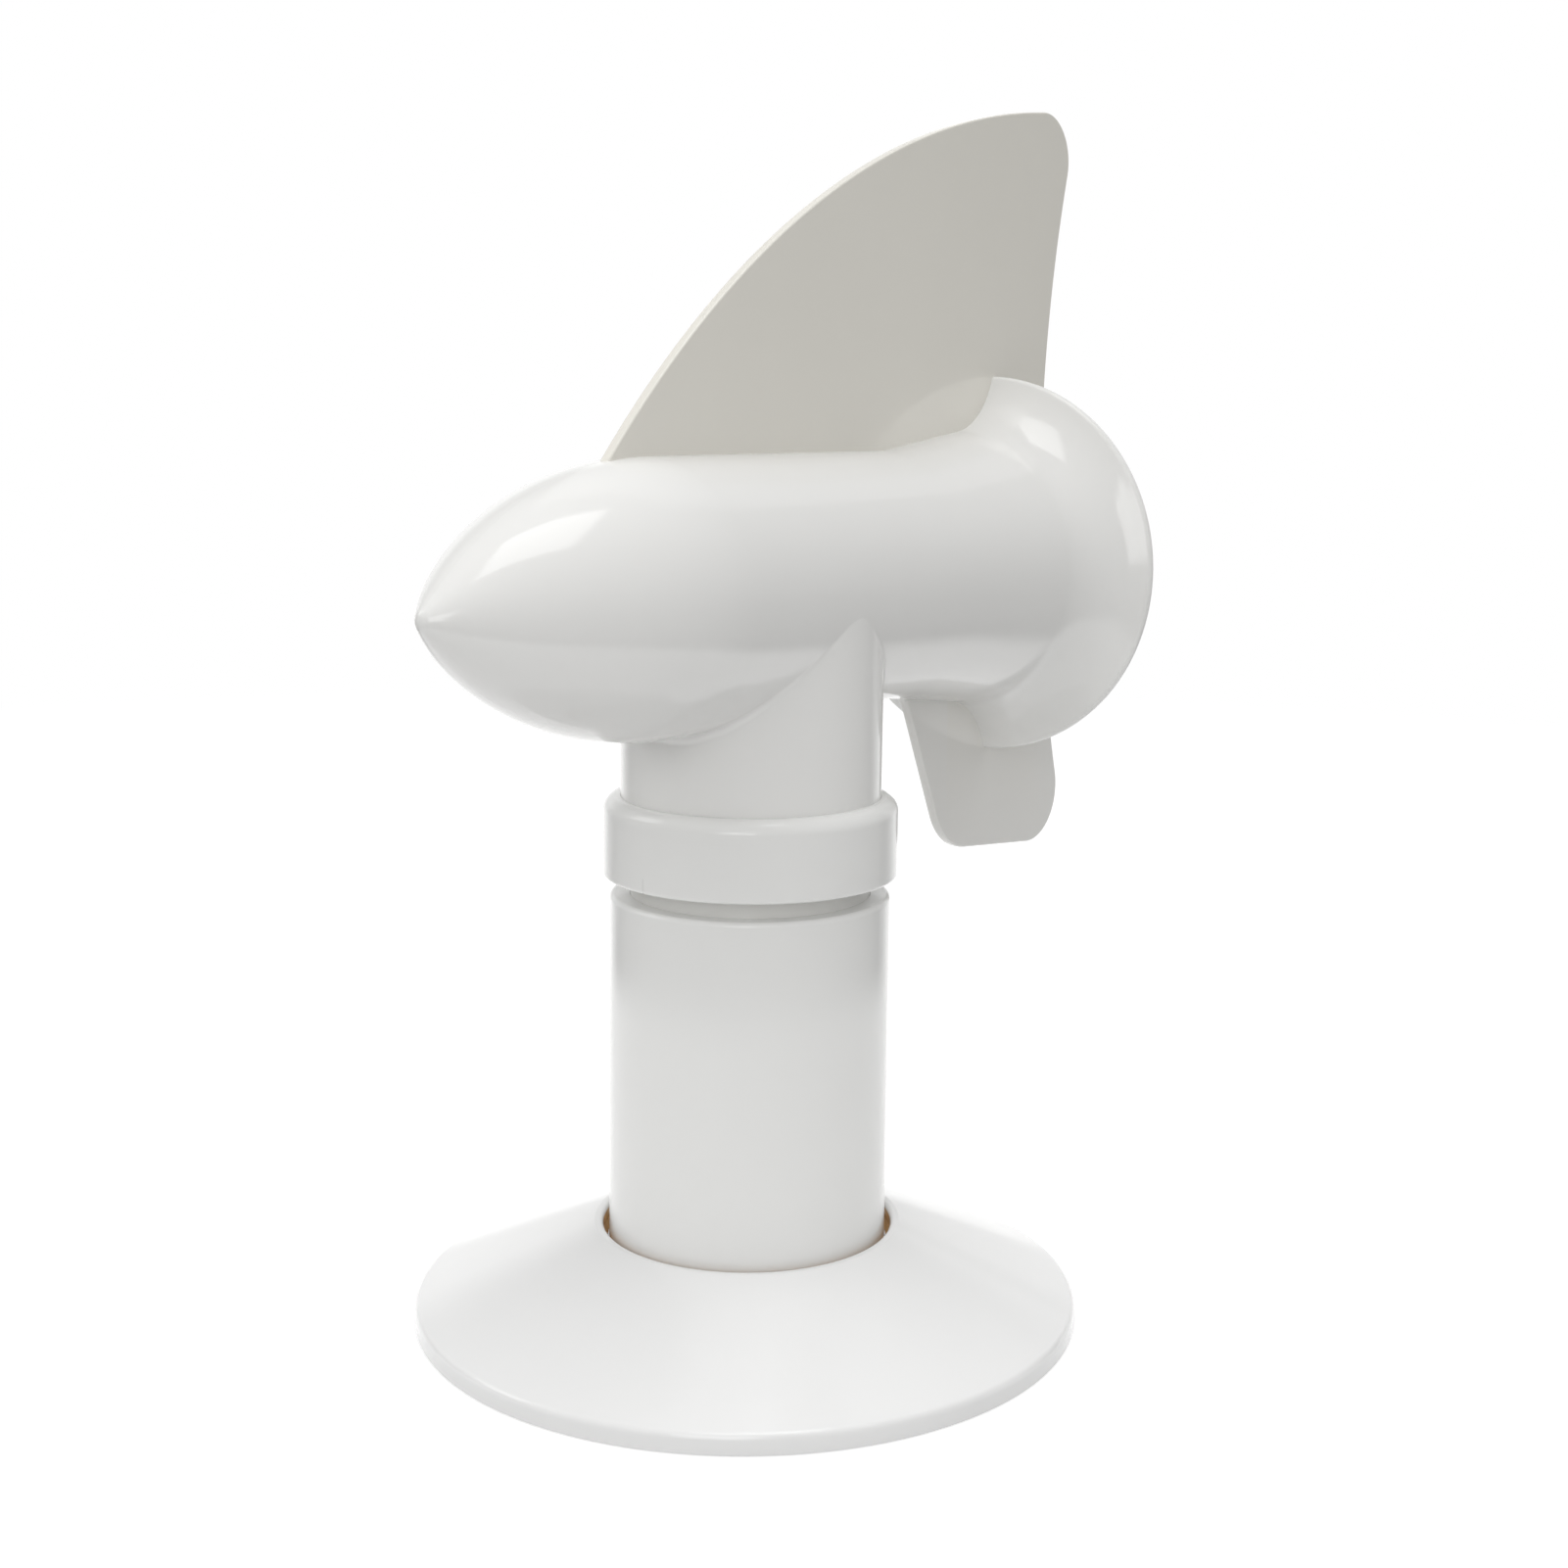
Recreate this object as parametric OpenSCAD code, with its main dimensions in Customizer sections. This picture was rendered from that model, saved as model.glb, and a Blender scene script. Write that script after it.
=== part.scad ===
// Rotating vent cap: a wind vane head that swivels on a stand pipe over a roof vent.
// Z is up along the pipe, Z = 0 is the roof, and the bell mouth faces +X.

/* [Vent pipe] */
// Outer diameter of the roof's vent pipe, which the cap slips over
vent_pipe_od = 60.3; // [58:0.1:62]
// Play all round between that pipe and the socket
socket_gap = 0.35; // [0.1:0.05:0.5]

/* [Stand pipe] */
// Wall of the stand pipe round its socket
pipe_wall = 2.1; // [1.8:0.1:4]
// Height of the stand pipe's top over the roof
pipe_h = 100.3; // [80:0.1:180]
// Thickness of the stop at the top of the socket
stop_t = 3.3; // [2:0.1:20]
// Rounding of the pipe's outer top edge
pipe_round = 1.2; // [0.4:0.1:1.6]

/* [Bearing] */
// Wall of the spigot that carries the head
spigot_wall = 2.5; // [1.6:0.1:3]
// Width of the spigot's rim, which the collar hooks under
spigot_rim = 2.17; // [1.6:0.01:3]
// Thickness of that rim
rim_t = 2.5; // [1.5:0.1:4]
// Length of spigot that sits in the top of the stand pipe
spigot_seat = 14; // [8:0.5:18]
// Thickness of each bearing ring
ring_t = 1.6; // [1:0.1:2.5]
// Radial play of the turning fits
turn_gap = 0.08; // [0.04:0.01:0.1]
// Play of the head along the pipe
end_play = 0.3; // [0.2:0.05:0.6]

/* [Collar] */
// Open slit between the collar and the stand pipe
slit_h = 4.4; // [2:0.1:8]
// Height of the collar
collar_h = 18.5; // [14:0.1:30]
// Wall of the collar round the neck
collar_wall = 3.9; // [3:0.1:6]
// Thickness of the lip under the spigot's rim
lip_t = 3; // [2:0.1:5]
// Rounding of the collar's shoulder
shoulder_r = 3.4; // [1:0.1:3.6]

/* [Head] */
// Outer diameter of the neck
neck_od = 60.4; // [58:0.1:62]
// Outer diameter of the torpedo body
body_od = 61.2; // [60.8:0.1:68]
// Wall of the body, the neck and the bell
wall = 3; // [2:0.1:4]
// Length of the neck, from its end in the collar to the body's axis
neck_len = 57.2; // [50:0.1:80]
// Where the nose starts, ahead of the pipe's axis
nose_start = 38.5; // [34:0.5:60]
// Length of the nose, to its sharp apex
nose_len = 67; // [45:0.5:100]
// Rounding of the nose's tip
tip_r = 3.5; // [2:0.1:8]

/* [Bell] */
// Outer diameter of the bell's lip
bell_d = 98.6; // [92:0.1:104]
// Where the body starts to widen, behind the pipe's axis
bell_start = 50; // [36:0.5:55]
// Length of the slow cone ahead of the flare
cone_len = 34; // [25:0.5:45]
// Angle of that cone
cone_angle = 7.4; // [4:0.1:10]
// Radius of the flare
flare_r = 20; // [18:0.5:24]

/* [Fin] */
// Thickness of the fin
fin_t = 2.5; // [1.5:0.1:4]
// Radius of the leading edge's sweep
lead_r = 268; // [240:1:320]
// Radius of the trailing edge's sweep
trail_r = 300; // [240:1:400]
// Height of the leading edge's crest over the body's axis
crest_h = 120.6; // [100:0.1:135]
// How far the crest lies behind the pipe's axis
crest_x = 149.6; // [140:0.1:160]
// How far the trailing edge's waist lies behind the pipe's axis
waist_x = 127.2; // [115:0.1:135]
// Height of that waist over the body's axis
waist_h = 25.5; // [10:0.5:35]
// Rounding of the fin's tip
fin_tip_r = 12.5; // [5:0.5:18]
// Depth of the keel under the body's axis, at its heel
keel_h = 79; // [65:0.5:95]
// Where the keel's leading edge would meet the body, behind the pipe's axis
keel_root_x = 62; // [55:0.5:75]
// Rake of the keel's leading edge from upright
keel_rake = 24.7; // [10:0.1:30]
// Rise of the keel's bottom edge towards the nose
keel_rise = 6.3; // [0:0.1:12]
// Rounding of the keel's heel
heel_r = 14; // [5:0.5:16]
// Rounding of the keel's toe
toe_r = 18; // [5:0.5:20]
// Rounding where the keel leaves the body
root_r = 8; // [3:0.5:12]

/* [Mouth] */
// Where the fin ends inside the mouth, behind the pipe's axis
plate_x = 81.5; // [70:0.5:84]
// Height of the cross web over the body's axis
web_h = 9.5; // [0:0.5:16]
// Thickness of the cross web
web_t = 1.8; // [1.2:0.1:3]
// Length of the cross web along the body
web_len = 20; // [10:0.5:30]

/* [Panel] */
// Length of the bare panel on the fin
panel_l = 41; // [20:0.5:60]
// Height of the panel
panel_h = 17; // [8:0.5:22]
// How far the panel stands proud
panel_t = 0.5; // [0.3:0.1:1]
// Slant of the panel's ends
panel_slant = 5; // [0:0.5:8]
// Where the panel's lower front corner lies, behind the pipe's axis
panel_x = 31; // [20:0.5:45]
// Height of the panel's foot over the body's axis
panel_z = 42.5; // [38:0.5:50]
// Rounding of the panel's corners
panel_r = 2; // [1:0.1:4]

/* [Roof flange] */
// Outer diameter of the flange
flange_d = 155.6; // [140:0.1:220]
// Height of the flange's lip over the roof
flange_h = 21.4; // [16:0.1:35]
// Height of the flange's outer edge
edge_h = 4.2; // [3.5:0.1:8]
// Wall of the cone
flange_wall = 3; // [2:0.1:4]
// Rounding of the outer edge
edge_r = 1.6; // [0.5:0.1:2.5]
// Gap round the pipe at the lip
lip_gap = 1.4; // [1:0.1:3]
// Play round the pipe at the guide inside the lip
guide_gap = 0.35; // [0.2:0.05:0.6]
// Height of that guide
guide_h = 2; // [1:0.1:4]
// Width of the lip's flat top
lip_w = 2; // [1.5:0.1:3]
// Rounding of the lip
lip_round = 1; // [0.4:0.1:1.2]

/* [Hidden] */
$fn = 96;

// Clearance of the glued joints
glue_gap = 0.05;
// How far a shape that cuts runs past the face it opens
past = 1;
// How far the facets of an arc may lie inside it
chord_gap = 0.01;
// Radial play of the loose bearing rings
ring_gap = 0.3;
// Running clearance over the thrust ring
thrust_gap = 0.1;
// Rounding of the collar's bottom edge
collar_round = 0.8;
// How far the fin's foot is sunk into the body's wall
sink = 0.3;

// Radii of the pipe, the neck and the bearing
bore_r = vent_pipe_od / 2 + socket_gap;
pipe_r = bore_r + pipe_wall;
neck_r = neck_od / 2;
collar_bore_r = neck_r + glue_gap;
collar_r = collar_bore_r + collar_wall;
rim_r = collar_bore_r - turn_gap;
spigot_r = rim_r - spigot_rim;
spigot_bore_r = spigot_r - spigot_wall;

// Levels up the pipe
seat_z = pipe_h - spigot_seat;
stop_z = seat_z - stop_t;
collar_z = pipe_h + slit_h;
wear_z = collar_z + lip_t;
rim_z = wear_z + ring_t + end_play;
thrust_z = rim_z + rim_t;
neck_z = thrust_z + ring_t + thrust_gap;
axis_z = neck_z + neck_len;

// Sections of the body and the bell
body_r = body_od / 2;
nose_r = (nose_len * nose_len + body_r * body_r) / (2 * body_r);
nose_c = [-nose_start, body_r - nose_r];
cone_x = bell_start + cone_len;
cone_r = body_r + cone_len * tan(cone_angle);
flare_c = [cone_x - flare_r * sin(cone_angle), cone_r + flare_r * cos(cone_angle)];
flare_end = acos((flare_c.y - (bell_d - wall) / 2) / (flare_r + wall / 2));
lip_c = flare_c + (flare_r + wall / 2) * [sin(flare_end), -cos(flare_end)];

// Centres of the fin's arcs, in the body's own frame
lead_c = [crest_x, crest_h - lead_r];
trail_c = [waist_x + trail_r, waist_h];

// Angle at which p is seen from c
function bearing(c, p) = atan2(p.y - c.y, p.x - c.x);
// Points on the circle about c with radius r, the short way from towards p to towards q
function arc(c, r, p, q) =
    let (start = bearing(c, p), turn = bearing(c, q) - start,
         sweep = turn > 180 ? turn - 360 : turn < -180 ? turn + 360 : turn,
         n = ceil(abs(sweep) / (2 * acos(1 - chord_gap / r))))
    [for (i = [0:n]) let (a = start + sweep * i / n) c + r * [cos(a), sin(a)]];
// Where the circles about c0 and c1 cross, to the left of the line from c0 to c1
function crossing(c0, r0, c1, r1) =
    let (v = c1 - c0, d = norm(v), a = (d * d + r0 * r0 - r1 * r1) / (2 * d), h = sqrt(r0 * r0 - a * a))
    c0 + a * v / d + h * [-v.y, v.x] / d;
// Where the circle about c with radius r meets the line through p along u, the last crossing
function on_line(c, r, p, u) =
    let (k = u * (p - c))
    p + u * (sqrt(k * k - (p - c) * (p - c) + r * r) - k);
// Rounds the corner b of the path a, b, c with radius r
function rounded(a, b, c, r) =
    let (u = (a - b) / norm(a - b), v = (c - b) / norm(c - b), half = acos(u * v) / 2)
    arc(b + (u + v) / norm(u + v) * r / sin(half), r, b + u * r / tan(half), b + v * r / tan(half));

// Edge of the fin: leading edge, tip, trailing edge, heel, keel and root
function fin_edge() =
    let (start_x = -nose_start - body_r / 2,
         start = [start_x, lead_c.y + sqrt(pow(lead_r, 2) - pow(start_x - lead_c.x, 2))],
         tip = crossing(lead_c, lead_r - fin_tip_r, trail_c, trail_r + fin_tip_r),
         foot = [waist_x, -keel_h],
         back = [-cos(keel_rise), sin(keel_rise)],
         heel = on_line(trail_c, trail_r + heel_r, foot + heel_r * [back.y, -back.x], back),
         root = [keel_root_x, sink - body_r],
         toe = foot + back * ((root - foot) * [cos(keel_rake), sin(keel_rake)])
                    / (back * [cos(keel_rake), sin(keel_rake)]))
    concat(arc(lead_c, lead_r, start, tip),
           arc(tip, fin_tip_r, 2 * tip - lead_c, trail_c),
           arc(trail_c, trail_r, tip, heel),
           arc(heel, heel_r, trail_c, heel - [back.y, -back.x]),
           rounded(foot, toe, root, toe_r),
           rounded(toe, root, root - [toe_r + root_r, 0], root_r));

// Turns a section, drawn with x along the body and y outwards, about the body's axis
module turned() {
    rotate([0, 90, 0]) rotate_extrude() mirror([1, -1]) children();
}

// Nose, down to the axis, drawn inwards by inset
module nose_section(inset) {
    r = nose_r - inset;
    tip_x = nose_c.x - sqrt(pow(r - tip_r, 2) - pow(nose_c.y, 2));
    seam_x = nose_c.x + (tip_x - nose_c.x) * r / (r - tip_r);
    intersection() {
        translate(nose_c) circle(r = r, $fn = 4 * $fn);
        translate([seam_x, 0]) square([-nose_start - seam_x, body_r]);
    }
    intersection() {
        translate([tip_x, 0]) circle(r = tip_r);
        translate([tip_x - tip_r, 0]) square([seam_x - tip_x + tip_r, tip_r]);
    }
}

// Solid inside the skin drawn inwards by inset, as far back as x
module core(inset, x) {
    foot = [bell_start + inset * tan(cone_angle / 2), body_r - inset];
    turned() {
        nose_section(inset);
        polygon([[-nose_start, 0], [-nose_start, foot.y], foot,
                 [x, foot.y + (x - foot.x) * tan(cone_angle)], [x, 0]]);
    }
}

// Quarter turn of the flare, from the end of the cone to the lip
module flare_section() {
    reach = 2 * flare_r;
    translate(flare_c) intersection() {
        difference() {
            circle(r = flare_r + wall);
            circle(r = flare_r);
        }
        polygon([[0, 0], reach * [sin(cone_angle), -cos(cone_angle)], reach * [1, -1],
                 reach * [sin(flare_end), -cos(flare_end)]]);
    }
    translate(lip_c) circle(r = wall / 2, $fn = $fn / 2);
}

module torpedo() {
    cone_in = flare_c + (flare_r + wall) * [sin(cone_angle), -cos(cone_angle)];
    difference() {
        turned() {
            difference() {
                nose_section(0);
                nose_section(wall);
            }
            polygon([[-nose_start, body_r], [bell_start, body_r], [cone_x, cone_r], cone_in,
                     [bell_start + wall * tan(cone_angle / 2), body_r - wall],
                     [-nose_start, body_r - wall]]);
            flare_section();
        }
        translate([0, 0, -neck_len]) cylinder(r = neck_r - wall, h = neck_len);
    }
}

module neck() {
    difference() {
        translate([0, 0, -neck_len]) cylinder(r = neck_r, h = neck_len);
        translate([0, 0, -neck_len - past]) cylinder(r = neck_r - wall, h = neck_len + 2 * past);
        rotate([0, 90, 0]) cylinder(r = body_r - wall / 2, h = 2 * neck_od, center = true);
    }
}

module fin() {
    difference() {
        rotate([90, 0, 0]) linear_extrude(fin_t, center = true) polygon(fin_edge());
        core(wall / 2, plate_x);
    }
}

module web() {
    intersection() {
        translate([plate_x + web_t / 2 - web_len, -body_od, web_h - web_t / 2])
            cube([web_len, 2 * body_od, web_t]);
        core(wall / 2, plate_x + web_t);
    }
}

module panel() {
    foot = [panel_x, panel_z];
    a = foot + [panel_l, 0];
    b = a + [-panel_slant, panel_h];
    c = b - [panel_l, 0];
    translate([0, fin_t / 2 + panel_t, 0]) rotate([90, 0, 0]) linear_extrude(panel_t + sink)
        polygon(concat(rounded(c, foot, a, panel_r), rounded(foot, a, b, panel_r),
                       rounded(a, b, c, panel_r), rounded(b, c, foot, panel_r)));
}

module vane_head() {
    color("whitesmoke") translate([0, 0, axis_z]) {
        torpedo();
        neck();
        fin();
        web();
        panel();
    }
}

module swivel_collar() {
    top = collar_z + collar_h;
    color("white") rotate_extrude() polygon(concat(
        [[spigot_r + turn_gap, collar_z]],
        rounded([collar_bore_r, collar_z], [collar_r, collar_z], [collar_r, top], collar_round),
        rounded([collar_r, collar_z], [collar_r, top], [collar_bore_r, top], shoulder_r),
        [[collar_bore_r, top], [collar_bore_r, wear_z], [spigot_r + turn_gap, wear_z]]));
}

// A flat ring between two radii, standing at height z
module ring(inner, outer, z, h) {
    translate([0, 0, z]) difference() {
        cylinder(r = outer, h = h);
        translate([0, 0, -past]) cylinder(r = inner, h = h + 2 * past);
    }
}

module thrust_ring() {
    color("ivory") ring(neck_r - wall, rim_r - ring_gap, thrust_z, ring_t);
}

module wear_ring() {
    color("ivory") ring(spigot_r + ring_gap, collar_bore_r - ring_gap, wear_z, ring_t);
}

module bearing_spigot() {
    color("gainsboro") difference() {
        union() {
            translate([0, 0, seat_z]) cylinder(r = spigot_r, h = rim_z + rim_t - seat_z);
            translate([0, 0, rim_z]) cylinder(r = rim_r, h = rim_t);
        }
        translate([0, 0, seat_z - past]) cylinder(r = spigot_bore_r, h = rim_z + rim_t - seat_z + 2 * past);
    }
}

module stand_pipe() {
    color("white") rotate_extrude() polygon(concat(
        [[spigot_bore_r, stop_z], [bore_r, stop_z], [bore_r, 0], [pipe_r, 0]],
        rounded([pipe_r, 0], [pipe_r, pipe_h], [spigot_r, pipe_h], pipe_round),
        [[spigot_r + glue_gap, pipe_h], [spigot_r + glue_gap, seat_z], [spigot_bore_r, seat_z]]));
}

module roof_flange() {
    out = flange_d / 2;
    hole = pipe_r + lip_gap;
    guide = pipe_r + guide_gap;
    edge = [out, edge_h];
    crown = [hole + lip_w, flange_h];
    slope = bearing(edge, crown);
    under = crown + [0, flange_wall / cos(slope)];
    foot = out - flange_wall;
    foot_z = max(0, under.y + (foot - under.x) * tan(slope));
    guide_z = under.y - lip_gap + guide_gap;
    color("white") rotate_extrude() polygon(concat(
        [[foot, 0], [out, 0]],
        rounded([out, 0], edge, crown, edge_r),
        rounded(edge, crown, [hole, flange_h], lip_round),
        rounded(crown, [hole, flange_h], [hole, 0], lip_round),
        [[hole, under.y], [guide, guide_z], [guide, guide_z - guide_h], [crown.x, guide_z - guide_h],
         under, [foot, foot_z]]));
}

roof_flange();
stand_pipe();
bearing_spigot();
wear_ring();
thrust_ring();
swivel_collar();
vane_head();
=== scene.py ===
"""Dresses a rotating roof vent cap: its moulded vane head, the finish of every piece and the studio."""

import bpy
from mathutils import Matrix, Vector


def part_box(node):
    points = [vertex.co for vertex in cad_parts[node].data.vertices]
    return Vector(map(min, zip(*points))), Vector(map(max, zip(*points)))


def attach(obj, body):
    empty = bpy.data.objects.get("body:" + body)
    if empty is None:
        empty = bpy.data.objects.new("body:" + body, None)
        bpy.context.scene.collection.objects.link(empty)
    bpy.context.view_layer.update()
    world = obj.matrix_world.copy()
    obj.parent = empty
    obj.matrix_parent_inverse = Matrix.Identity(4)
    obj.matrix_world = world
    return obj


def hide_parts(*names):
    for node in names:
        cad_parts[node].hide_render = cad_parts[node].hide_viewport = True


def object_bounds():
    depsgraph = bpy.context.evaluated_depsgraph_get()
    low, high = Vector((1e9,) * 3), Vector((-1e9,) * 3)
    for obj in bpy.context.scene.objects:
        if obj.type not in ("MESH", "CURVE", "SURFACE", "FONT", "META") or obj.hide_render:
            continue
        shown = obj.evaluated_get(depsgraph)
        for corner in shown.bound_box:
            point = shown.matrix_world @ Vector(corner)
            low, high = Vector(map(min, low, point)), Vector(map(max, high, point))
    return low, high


bl_info = {
    "name": "Rotating Vent Cap",
    "version": (1, 0, 0),
    "blender": (4, 5, 0),
    "location": "View3D > Sidebar > Vent Cap",
    "description": "Moulds the cap's vane head, finishes its plastics and sets the studio",
    "category": "Object",
}

from math import acos, asin, atan2, ceil, cos, pi, radians, sin, sqrt, tan

import bmesh
import bpy
from bpy.props import FloatProperty, FloatVectorProperty, IntProperty, PointerProperty
from bpy.types import Operator, Panel, PropertyGroup
from mathutils import Matrix, Vector

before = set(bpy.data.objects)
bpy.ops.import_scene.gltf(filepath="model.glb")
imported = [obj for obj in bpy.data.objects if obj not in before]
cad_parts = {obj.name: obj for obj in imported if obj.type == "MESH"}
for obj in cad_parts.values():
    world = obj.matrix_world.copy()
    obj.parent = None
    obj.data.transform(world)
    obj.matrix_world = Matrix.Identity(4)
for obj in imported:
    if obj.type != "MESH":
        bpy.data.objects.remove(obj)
CAD_BOX = [list(corner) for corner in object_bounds()]
HEAD_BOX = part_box("vane_head")
MM = 0.001
# Longest distance between a round edge and the chords that stand for it
CHORD_GAP = 0.008 * MM
# Points closer than this are one point
MERGE_GAP = 0.002 * MM
# How far the moulded head's box may differ from its solid's
FIT_GAP = 0.3 * MM
# Edges that turn by more than this stay sharp
SHARP_TURN = radians(50)


def length(name, description, default):
    """A size in metres, whose default is given in millimetres."""
    return FloatProperty(name=name, description=description, default=default * MM, unit="LENGTH",
                         precision=5)


def angle(name, description, default):
    """An angle, whose default is given in degrees."""
    return FloatProperty(name=name, description=description, default=radians(default), subtype="ANGLE")


def colour(name, description, default):
    """A colour as linear red, green and blue."""
    return FloatVectorProperty(name=name, description=description, default=default, subtype="COLOR",
                               min=0.0, max=1.0, size=3)


def amount(name, description, default, high=1.0):
    """A plain number from nought to high."""
    return FloatProperty(name=name, description=description, default=default, min=0.0, max=high)


def faces(name, description, default, low, high):
    """A count of faces."""
    return IntProperty(name=name, description=description, default=default, min=low, max=high)


def watts(name, description, default):
    """The power of a lamp."""
    return FloatProperty(name=name, description=description, default=default, min=0.0, unit="POWER")


class HeadSizes(PropertyGroup):
    """Sizes of the hollow tee: nose, body, neck and bell."""

    body_r: length("Body radius", "Outer radius of the torpedo body", 30.6)
    neck_r: length("Neck radius", "Outer radius of the neck", 30.2)
    wall: length("Wall", "Wall of the body, the neck and the bell", 3.0)
    neck_len: length("Neck length", "From the neck's foot in the collar to the body's axis", 57.2)
    crotch_r: length("Crotch fillet", "Radius of the fillet between the neck and the body", 2.5)
    nose_start: length("Nose start", "Where the nose starts, ahead of the pipe's axis", 38.5)
    nose_len: length("Nose length", "Length of the nose to its sharp apex", 67.0)
    tip_r: length("Tip radius", "Rounding of the nose's tip", 3.5)
    bell_start: length("Bell start", "Where the body starts to widen", 50.0)
    cone_len: length("Cone length", "Length of the slow cone ahead of the flare", 34.0)
    cone_angle: angle("Cone angle", "Slope of the slow cone", 7.4)
    flare_r: length("Flare radius", "Radius of the flare's outer skin", 20.0)
    bell_d: length("Bell diameter", "Outer diameter of the bell's lip", 98.6)
    segments: faces("Segments", "Faces round the body", 200, 48, 400)
    fillet_cuts: faces("Fillet cuts", "Faces across the fillet", 8, 2, 24)


class FinSizes(PropertyGroup):
    """Sizes of the fin, its keel and the web in the throat, measured from the body's axis."""

    thickness: length("Thickness", "Thickness of the fin", 2.5)
    edge_r: length("Edge rounding", "Rounding of the edges of the fin and the web", 0.5)
    edge_cuts: faces("Edge cuts", "Faces across each rounded edge of the fin and the web", 4, 1, 12)
    lead_r: length("Leading sweep", "Radius of the leading edge's sweep", 268.0)
    trail_r: length("Trailing sweep", "Radius of the trailing edge's sweep", 300.0)
    crest_h: length("Crest height", "Height of the leading sweep's top", 120.6)
    crest_x: length("Crest place", "How far the leading sweep's top lies behind the pipe's axis", 149.6)
    waist_x: length("Waist place", "How far the trailing edge's waist lies behind the pipe's axis",
                    127.2)
    waist_h: length("Waist height", "Height of the trailing edge's waist", 25.5)
    tip_r: length("Tip rounding", "Rounding of the fin's tip", 12.5)
    keel_h: length("Keel depth", "Depth of the keel at its heel", 79.0)
    keel_root_x: length("Keel root", "Where the keel's leading edge meets the body", 62.0)
    keel_rake: angle("Keel rake", "Rake of the keel's leading edge from upright", 24.7)
    keel_rise: angle("Keel rise", "Rise of the keel's bottom edge towards the nose", 6.3)
    heel_r: length("Heel rounding", "Rounding of the keel's heel", 14.0)
    toe_r: length("Toe rounding", "Rounding of the keel's toe", 18.0)
    root_r: length("Root rounding", "Rounding where the keel leaves the body", 8.0)
    sink: length("Sink", "How far the fin's foot is sunk into the body's wall", 0.3)
    plate_x: length("Plate place", "Where the fin's plate ends inside the mouth", 81.5)
    web_h: length("Web height", "Height of the cross web in the throat", 9.5)
    web_t: length("Web thickness", "Thickness of the cross web", 1.8)
    web_len: length("Web length", "Length of the cross web along the body", 20.0)


class LabelSizes(PropertyGroup):
    """Sizes of the bare raised panel on the fin's far side, measured from the body's axis."""

    place: length("Place", "How far the panel's lower front corner lies behind the pipe's axis", 31.0)
    foot: length("Foot", "Height of the panel's foot", 42.5)
    long: length("Length", "Length of the panel", 41.0)
    high: length("Height", "Height of the panel", 17.0)
    slant: length("Slant", "Slant of the panel's ends", 5.0)
    proud: length("Relief", "How far the panel stands proud", 0.5)
    corner: length("Corner", "Rounding of the panel's corners", 2.0)
    edge_r: length("Edge rounding", "Rounding of the panel's edge", 0.2)
    edge_cuts: faces("Edge cuts", "Faces across the panel's rounded edge", 3, 1, 12)


class Finish(PropertyGroup):
    """Colours and gloss of the plastics."""

    head_white: colour("Head white", "Colour of the vane head", (0.80, 0.797, 0.78))
    # Painted shade: the fin's white is darker and warmer than the head's, standing in for the dimmer,
    # warmer light on and through the thin plate
    fin_shaded_white: colour("Fin white", "Colour of the fin and its keel, which the thin plate makes warmer",
                      (0.785, 0.765, 0.705))
    # Painted shade: warm brown that darkens the inner skin deep in the throat, where little light reaches
    throat_painted_shade: colour("Throat", "Warm dusk that the white takes on deep in the throat",
                         (0.50, 0.42, 0.32))
    collar_white: colour("Collar white", "Colour of the swivel collar", (0.79, 0.79, 0.775))
    pipe_white: colour("Pipe white", "Colour of the stand pipe", (0.79, 0.79, 0.775))
    # Partly painted shade: the spigot's own white, warmed a little for the warm shade that falls in the
    # slit under the collar
    spigot_shaded_white: colour("Spigot white", "Colour of the bearing spigot", (0.79, 0.785, 0.76))
    flange_white: colour("Flange white", "Colour of the roof flange", (0.80, 0.80, 0.795))
    # Painted glow: this amber stands in for light that bounces in the gap round the hole and shines
    # through the plastic; the hole's edge is the flange's own white
    hole_painted_glow: colour("Hole edge", "Colour of the raw edge round the flange's hole", (0.74, 0.46, 0.22))
    ring_cream: colour("Ring cream", "Colour of the bearing rings", (0.74, 0.70, 0.60))
    gloss: amount("Roughness", "Roughness of the moulded gloss", 0.11)
    ring_gloss: amount("Ring roughness", "Roughness of the bearing rings", 0.42)


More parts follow.
